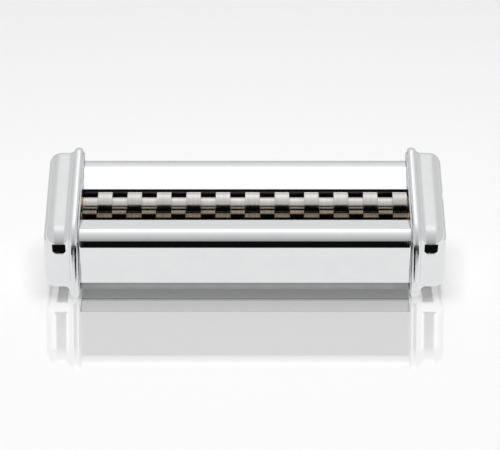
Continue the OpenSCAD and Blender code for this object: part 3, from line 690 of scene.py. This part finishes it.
ROLLERS = (
    ("front", make_roller("front_ring_roller", FRONT_AXIS, 0, -GEAR_END_X, STUB_END_X, [-GEAR_PIN_X], True)),
    ("rear", make_roller("rear_ring_roller", REAR_AXIS, 1, -GEAR_END_X, SOCKET_SEAT_X - SEAT_GAP,
                         [-GEAR_PIN_X, SOCKET_PIN_X])),
)
for side, roller in ROLLERS:
    dress(roller, "roller_steel")
    roller.data.materials[0] = MATERIALS[side + "_roller"]
    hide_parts(side + "_roller")
    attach(roller, side + "_roller_set")

# ---- Nodes that keep their own mesh ---------------------------------------------

REPLACED = {"left_cap", "right_cap", "front_cover", "rear_cover", "front_roller", "rear_roller"}
EDGE_WIDTH = {
    "left_side_plate": 0.12, "right_side_plate": 0.12, "front_comb": 0.12, "rear_comb": 0.12,
    "left_hook": 0.2, "right_hook": 0.2, "hook_rivets": 0.3, "drive_socket": 0.25,
    "left_cap_screws": 0.25, "right_cap_screws": 0.25,
}
slot_of = {s["node"]: s["material_slot"] for s in frame["record"]["subparts"]}
for name, obj in frame["nodes"].items():
    if name in REPLACED:
        continue
    obj.data.materials.clear()
    obj.data.materials.append(MATERIALS[slot_of[name]])
    weld = obj.modifiers.new("weld", "WELD")
    weld.merge_threshold = 1e-6
    bevel = obj.modifiers.new("soft_edges", "BEVEL")
    bevel.width = EDGE_WIDTH.get(name, 0.1) * MM
    bevel.segments = 2
    bevel.limit_method = "ANGLE"
    bevel.angle_limit = math.radians(35)
    bevel.harden_normals = False

# ---- Floor, softbox and world ---------------------------------------------------

# Sizes here are in metres. A stretch's value is the brightness that chrome shows it with.
FLOOR_HALF = 6.0
PATCH_Z = 0.00001            # the patches lie this far above the pale table
PALE_VALUE, BACK_VALUE, UNDER_VALUE, DARK_VALUE = 0.88, 0.64, 0.03, 0.004
COVER_DARK_Y = -0.0397       # where the covers begin to see the dark stretch of the table
CAP_DARK_Y = -0.0524         # and where the caps do
COVER_DARK_X, COVER_DARK_SPREAD = 0.0728, 0.052                 # half width, and its growth per metre
CAP_DARK_X, CAP_DARK_SPREAD = (0.0762, 0.0985), (0.045, 0.70)   # the same for its inner and outer side
NEAR_X = 0.0715              # half the width of the soft shade in front of the covers
# The near strips' lower glow and tone paint the covers' contact shadow into the table.
NEAR_STRIPS = [              # (from y, to y, value, glow, tone)
    (-0.0195, -0.0294, PALE_VALUE, 0.27, 0.40),
    (-0.0294, -0.0318, PALE_VALUE, 0.05, 0.14),
    (-0.0318, COVER_DARK_Y, PALE_VALUE, 0.10, 0.40),
    (COVER_DARK_Y, -0.0438, DARK_VALUE, 0.10, 0.40),
]
BACK_Y = 0.045               # behind this line chrome shows the table as a darker grey
UNDER_X, UNDER_FRONT_Y, UNDER_REAR_Y = 0.0838, -0.0195, 0.026   # the shaded stretch under the body


def floor_material(name, glossy_value, mirror=0.37, glow=0.25, tone=0.95):
    """To the camera a pale table with a soft mirror in it; to reflections one plain value."""
    material = bpy.data.materials.new(name)
    material.use_nodes = True
    tree = material.node_tree
    tree.nodes.clear()
    out = tree.nodes.new("ShaderNodeOutputMaterial")
    path = tree.nodes.new("ShaderNodeLightPath")
    diffuse = tree.nodes.new("ShaderNodeBsdfDiffuse")
    diffuse.inputs["Color"].default_value = (tone, tone, tone, 1)
    emit = tree.nodes.new("ShaderNodeEmission")
    emit.inputs["Strength"].default_value = glow
    table = tree.nodes.new("ShaderNodeAddShader")
    gloss = tree.nodes.new("ShaderNodeBsdfGlossy")
    gloss.inputs["Color"].default_value = (1, 1, 1, 1)
    gloss.inputs["Roughness"].default_value = 0.03
    seen = tree.nodes.new("ShaderNodeMixShader")
    seen.inputs[0].default_value = mirror
    plain = tree.nodes.new("ShaderNodeEmission")
    plain.inputs["Color"].default_value = (glossy_value, glossy_value, glossy_value, 1)
    lit = tree.nodes.new("ShaderNodeBsdfDiffuse")
    lit.inputs["Color"].default_value = (0.8, 0.8, 0.8, 1)
    by_gloss = tree.nodes.new("ShaderNodeMixShader")
    by_camera = tree.nodes.new("ShaderNodeMixShader")
    links = tree.links.new
    links(diffuse.outputs[0], table.inputs[0])
    links(emit.outputs[0], table.inputs[1])
    links(table.outputs[0], seen.inputs[1])
    links(gloss.outputs[0], seen.inputs[2])
    links(path.outputs["Is Glossy Ray"], by_gloss.inputs[0])
    links(lit.outputs[0], by_gloss.inputs[1])
    links(plain.outputs[0], by_gloss.inputs[2])
    links(path.outputs["Is Camera Ray"], by_camera.inputs[0])
    links(by_gloss.outputs[0], by_camera.inputs[1])
    links(seen.outputs[0], by_camera.inputs[2])
    links(by_camera.outputs[0], out.inputs["Surface"])
    return material


def table_piece(name, outlines, z, glossy_value, **look):
    """Flat stretches of the table, each an outline of (x, y) points in metres."""
    verts, faces = [], []
    for outline in outlines:
        faces.append([len(verts) + i for i in range(len(outline))])
        verts += [(x, y, z) for x, y in outline]
    mesh = bpy.data.meshes.new(name)
    mesh.from_pydata(verts, [], faces)
    mesh.materials.append(floor_material(name, glossy_value, **look))
    piece = bpy.data.objects.new(name, mesh)
    bpy.context.scene.collection.objects.link(piece)


def dark_strip(y0, x0, x1, spread0, spread1):
    """A stretch from y0 to the table's front edge, between two lines that spread outwards."""
    run = FLOOR_HALF + y0
    return [(x0, y0), (x1, y0), (x1 + run * spread1, -FLOOR_HALF), (x0 + run * spread0, -FLOOR_HALF)]


def make_floor():
    """A pale table, with the stretches that chrome and the camera show darker."""
    f = FLOOR_HALF
    table_piece("pale_table", [[(-f, -f), (f, -f), (f, f), (-f, f)]], 0.0, PALE_VALUE)
    middle = dark_strip(COVER_DARK_Y, -COVER_DARK_X, COVER_DARK_X, -COVER_DARK_SPREAD, COVER_DARK_SPREAD)
    right = dark_strip(CAP_DARK_Y, *CAP_DARK_X, *CAP_DARK_SPREAD)
    left = [(-x, y) for x, y in right][::-1]
    table_piece("back_table", [[(-f, BACK_Y), (f, BACK_Y), (f, f), (-f, f)]], PATCH_Z, BACK_VALUE)
    table_piece("dark_table", [middle, left, right], PATCH_Z, DARK_VALUE)
    for i, (y1, y0, value, glow, tone) in enumerate(NEAR_STRIPS):
        outline = [(-NEAR_X, y0), (NEAR_X, y0), (NEAR_X, y1), (-NEAR_X, y1)]
        table_piece(f"painted_shadow_table_{i}", [outline], 2 * PATCH_Z, value, glow=glow, tone=tone)
    table_piece("shaded_table", [[(-UNDER_X, UNDER_FRONT_Y), (UNDER_X, UNDER_FRONT_Y),
                                  (UNDER_X, UNDER_REAR_Y), (-UNDER_X, UNDER_REAR_Y)]], PATCH_Z, UNDER_VALUE)


# Softbox: (angle over the top from the front horizon, brightness, cover)
SOFTBOX = [(90, 1.05, 0.0), (95, 1.1, 1.0), (105, 1.3, 1.0), (115, 1.5, 1.0), (128, 1.5, 1.0),
           (134, 1.0, 1.0), (141, 0.86, 1.0), (149, 0.76, 1.0), (152, 0.74, 0.0)]
SOFTBOX_Z, PART_Z = 1.0, 0.038       # its height, and the height from which the angles are seen
# Its half width over the part, how much wider it gets towards the back, and half its soft edge
SOFTBOX_X, SOFTBOX_SPREAD, SOFTBOX_SOFT = 0.1197, 0.0207, 0.004


def make_softbox():
    """A lit panel high over the part, whose ends fade just outside the body."""
    mesh = bpy.data.meshes.new("softbox")
    places = [(SOFTBOX_Z - PART_Z) / math.tan(math.radians(180 - angle)) for angle, _, _ in SOFTBOX]
    y0, y1 = places[0], places[-1]
    ends = [SOFTBOX_X + SOFTBOX_SPREAD * y + SOFTBOX_SOFT for y in (y0, y1)]
    mesh.from_pydata([(-ends[0], y0, SOFTBOX_Z), (ends[0], y0, SOFTBOX_Z),
                      (ends[1], y1, SOFTBOX_Z), (-ends[1], y1, SOFTBOX_Z)], [], [(0, 3, 2, 1)])
    material = bpy.data.materials.new("softbox")
    material.use_nodes = True
    tree = material.node_tree
    tree.nodes.clear()
    out = tree.nodes.new("ShaderNodeOutputMaterial")
    emit = tree.nodes.new("ShaderNodeEmission")
    emit.inputs["Strength"].default_value = max(value for _, value, _ in SOFTBOX)
    clear = tree.nodes.new("ShaderNodeBsdfTransparent")
    mix = tree.nodes.new("ShaderNodeMixShader")
    coords = tree.nodes.new("ShaderNodeTexCoord")
    split = tree.nodes.new("ShaderNodeSeparateXYZ")
    size = tree.nodes.new("ShaderNodeMath")
    size.operation = "ABSOLUTE"
    fade = tree.nodes.new("ShaderNodeMapRange")
    fade.interpolation_type = "SMOOTHSTEP"
    fade.inputs["From Min"].default_value = SOFTBOX_X + SOFTBOX_SOFT
    fade.inputs["From Max"].default_value = SOFTBOX_X - SOFTBOX_SOFT
    spread = tree.nodes.new("ShaderNodeMath")
    spread.operation = "MULTIPLY_ADD"
    spread.inputs[1].default_value = -SOFTBOX_SPREAD
    depth = tree.nodes.new("ShaderNodeMapRange")
    depth.inputs["From Min"].default_value = y0
    depth.inputs["From Max"].default_value = y1
    ramp = tree.nodes.new("ShaderNodeValToRGB")
    elements = ramp.color_ramp.elements
    while len(elements) < len(SOFTBOX):
        elements.new(0.5)
    for element, y, (_, value, cover) in zip(elements, places, SOFTBOX):
        element.position = (y - y0) / (y1 - y0)
        grey = value / emit.inputs["Strength"].default_value
        element.color = (grey, grey, grey, cover)
    cover = tree.nodes.new("ShaderNodeMath")
    cover.operation = "MULTIPLY"
    links = tree.links.new
    links(coords.outputs["Object"], split.inputs[0])
    links(split.outputs["X"], size.inputs[0])
    links(split.outputs["Y"], spread.inputs[0])
    links(size.outputs[0], spread.inputs[2])
    links(spread.outputs[0], fade.inputs["Value"])
    links(split.outputs["Y"], depth.inputs["Value"])
    links(depth.outputs["Result"], ramp.inputs["Fac"])
    links(ramp.outputs["Color"], emit.inputs["Color"])
    links(fade.outputs["Result"], cover.inputs[0])
    links(ramp.outputs["Alpha"], cover.inputs[1])
    links(cover.outputs[0], mix.inputs[0])
    links(clear.outputs[0], mix.inputs[1])
    links(emit.outputs[0], mix.inputs[2])
    links(mix.outputs[0], out.inputs["Surface"])
    mesh.materials.append(material)
    box = bpy.data.objects.new("softbox", mesh)
    bpy.context.scene.collection.objects.link(box)
    box.visible_camera = False


# Black flags that only glossy rays see, set in the slot where the part has nothing: they paint
# shade into the rollers' reflections and cast no shadow. The two long edges of each in the Y-Z plane,
# in millimetres. The nip flag is cut up into one piece in front of each of the rear rings.
FRONT_FLAG = (vec(-16.9, 32.6), vec(-11.4, 34.6))
REAR_FLAG = (vec(-7.5, 33.95), vec(-7.5, 36.5))
NIP_FLAG = (vec(-5.0, 30.6), vec(-5.0, 33.9))


def make_flag(name, edges, spans):
    verts = [(x, p.x, p.y) for span in spans for p in edges for x in span]
    faces = [(4 * i, 4 * i + 1, 4 * i + 3, 4 * i + 2) for i in range(len(spans))]
    flag = new_object(name, verts, faces)
    black = bpy.data.materials.new(name)
    black.use_nodes = True
    black.node_tree.nodes.clear()
    out = black.node_tree.nodes.new("ShaderNodeOutputMaterial")
    emit = black.node_tree.nodes.new("ShaderNodeEmission")
    emit.inputs["Color"].default_value = (0, 0, 0, 1)
    black.node_tree.links.new(emit.outputs[0], out.inputs["Surface"])
    flag.data.materials.append(black)
    flag.visible_camera = flag.visible_diffuse = flag.visible_shadow = False


# Brightness of the room by the angle over the top, from the front horizon
ROOM = [(-180, 0.9), (-90, 0.9), (-6, 0.2), (0, 0.26), (11, 0.43), (30, 0.56), (50, 0.64),
        (70, 0.78), (90, 1.02), (104, 1.0), (116, 0.92), (129, 0.88), (150, 0.79), (158, 0.8),
        (164, 0.64), (170, 0.56), (180, 0.58)]
SIDE_START, SIDE_END = 0.12, 0.4            # how far sideways a direction leans where the sides fade in
SIDE_BACK = ((0.55, 1.06), (0.9, 0.60))     # (how far back it leans, brightness)
SIDE_UP = ((-0.05, 1.06), (0.2, 0.68))      # (its height, brightness); the darker of the two shows
FILL = 0.2                                  # what the room gives to surfaces that aren't glossy


def make_key_light(power=11.8, size=0.7, height=1.2):
    """A soft light straight overhead for the table, which chrome doesn't show."""
    data = bpy.data.lights.new("key", "AREA")
    data.energy, data.size = power, size
    key = bpy.data.objects.new("key", data)
    key.location = (0, 0, height)
    bpy.context.scene.collection.objects.link(key)
    key.visible_glossy = False


def world_range(tree, start, end):
    """Brightness that runs from one (coordinate, brightness) to another."""
    node = tree.nodes.new("ShaderNodeMapRange")
    for key, number in zip(("From Min", "To Min", "From Max", "To Max"), start + end):
        node.inputs[key].default_value = number
    return node


def add_sides(tree, split, ramp):
    """Fades from the ramp to the sides' own brightness where a direction leans sideways."""
    side = tree.nodes.new("ShaderNodeMath")
    side.operation = "ABSOLUTE"
    share = tree.nodes.new("ShaderNodeMapRange")
    share.inputs["From Min"].default_value = SIDE_START
    share.inputs["From Max"].default_value = SIDE_END
    by_back, by_height = [world_range(tree, *ends) for ends in (SIDE_BACK, SIDE_UP)]
    value = tree.nodes.new("ShaderNodeMath")
    value.operation = "MINIMUM"
    with_sides = tree.nodes.new("ShaderNodeMix")
    with_sides.data_type = "RGBA"
    links = tree.links.new
    links(split.outputs["X"], side.inputs[0])
    links(side.outputs[0], share.inputs["Value"])
    links(split.outputs["Y"], by_back.inputs["Value"])
    links(split.outputs["Z"], by_height.inputs["Value"])
    links(by_back.outputs["Result"], value.inputs[0])
    links(by_height.outputs["Result"], value.inputs[1])
    links(share.outputs["Result"], with_sides.inputs[0])
    links(ramp.outputs["Color"], with_sides.inputs[6])
    links(value.outputs[0], with_sides.inputs[7])
    return with_sides


def make_world():
    """To chrome a room by angle, to other surfaces a faint fill, to the camera plain white."""
    world = bpy.data.worlds.new("studio")
    bpy.context.scene.world = world
    world.use_nodes = True
    tree = world.node_tree
    tree.nodes.clear()
    out = tree.nodes.new("ShaderNodeOutputWorld")
    background = tree.nodes.new("ShaderNodeBackground")
    coords = tree.nodes.new("ShaderNodeTexCoord")
    split = tree.nodes.new("ShaderNodeSeparateXYZ")
    forward = tree.nodes.new("ShaderNodeMath")
    forward.operation = "MULTIPLY"
    forward.inputs[1].default_value = -1
    over = tree.nodes.new("ShaderNodeMath")
    over.operation = "ARCTAN2"
    turn = tree.nodes.new("ShaderNodeMapRange")
    turn.inputs["From Min"].default_value = -math.pi
    turn.inputs["From Max"].default_value = math.pi
    ramp = tree.nodes.new("ShaderNodeValToRGB")
    ramp.color_ramp.interpolation = "LINEAR"
    elements = ramp.color_ramp.elements
    while len(elements) < len(ROOM):
        elements.new(0.5)
    for element, (angle, value) in zip(elements, ROOM):
        element.position = (angle + 180) / 360
        element.color = (value, value, value, 1)
    with_sides = add_sides(tree, split, ramp)
    by_gloss = tree.nodes.new("ShaderNodeMix")
    by_gloss.data_type = "RGBA"
    by_gloss.inputs[6].default_value = (FILL, FILL, FILL, 1)
    path = tree.nodes.new("ShaderNodeLightPath")
    seen = tree.nodes.new("ShaderNodeMix")
    seen.data_type = "RGBA"
    seen.inputs[7].default_value = (1, 1, 1, 1)
    links = tree.links.new
    links(coords.outputs["Generated"], split.inputs[0])
    links(split.outputs["Y"], forward.inputs[0])
    links(split.outputs["Z"], over.inputs[0])
    links(forward.outputs[0], over.inputs[1])
    links(over.outputs[0], turn.inputs["Value"])
    links(turn.outputs["Result"], ramp.inputs["Fac"])
    links(path.outputs["Is Glossy Ray"], by_gloss.inputs[0])
    links(with_sides.outputs[2], by_gloss.inputs[7])
    links(path.outputs["Is Camera Ray"], seen.inputs[0])
    links(by_gloss.outputs[2], seen.inputs[6])
    links(seen.outputs[2], background.inputs["Color"])
    links(background.outputs[0], out.inputs["Surface"])


# ---- Camera ---------------------------------------------------------------------

CAMERA_TARGET = Vector((2.16, 2.0, 22.0)) * MM
CAMERA_DISTANCE = 1.4334
CAMERA_ELEVATION = 22.0
CAMERA_LENS = 232.6


def make_camera():
    data = bpy.data.cameras.new("camera")
    camera = bpy.data.objects.new("camera", data)
    bpy.context.scene.collection.objects.link(camera)
    away = Vector((0, -cos_d(CAMERA_ELEVATION), sin_d(CAMERA_ELEVATION)))
    camera.location = CAMERA_TARGET + away * CAMERA_DISTANCE
    camera.rotation_euler = (-away).to_track_quat("-Z", "Y").to_euler()
    data.lens = CAMERA_LENS
    data.sensor_width = 36
    data.sensor_fit = "HORIZONTAL"
    data.clip_start, data.clip_end = 0.05, 50
    bpy.context.scene.camera = camera


make_floor()
make_softbox()
make_key_light()
WHOLE_SLOT = [(-CUT_L / 2, CUT_L / 2)]
REAR_RINGS = [(-CUT_L / 2 + (2 * i + 1) * RING_W, -CUT_L / 2 + (2 * i + 2) * RING_W)
              for i in range(RING_COUNT)]
make_flag("front_shade_flag", FRONT_FLAG, WHOLE_SLOT)
make_flag("rear_shade_flag", REAR_FLAG, WHOLE_SLOT)
make_flag("nip_shade_flag", NIP_FLAG, REAR_RINGS)
make_world()
make_camera()

scene = bpy.context.scene
scene.view_settings.view_transform = "Standard"
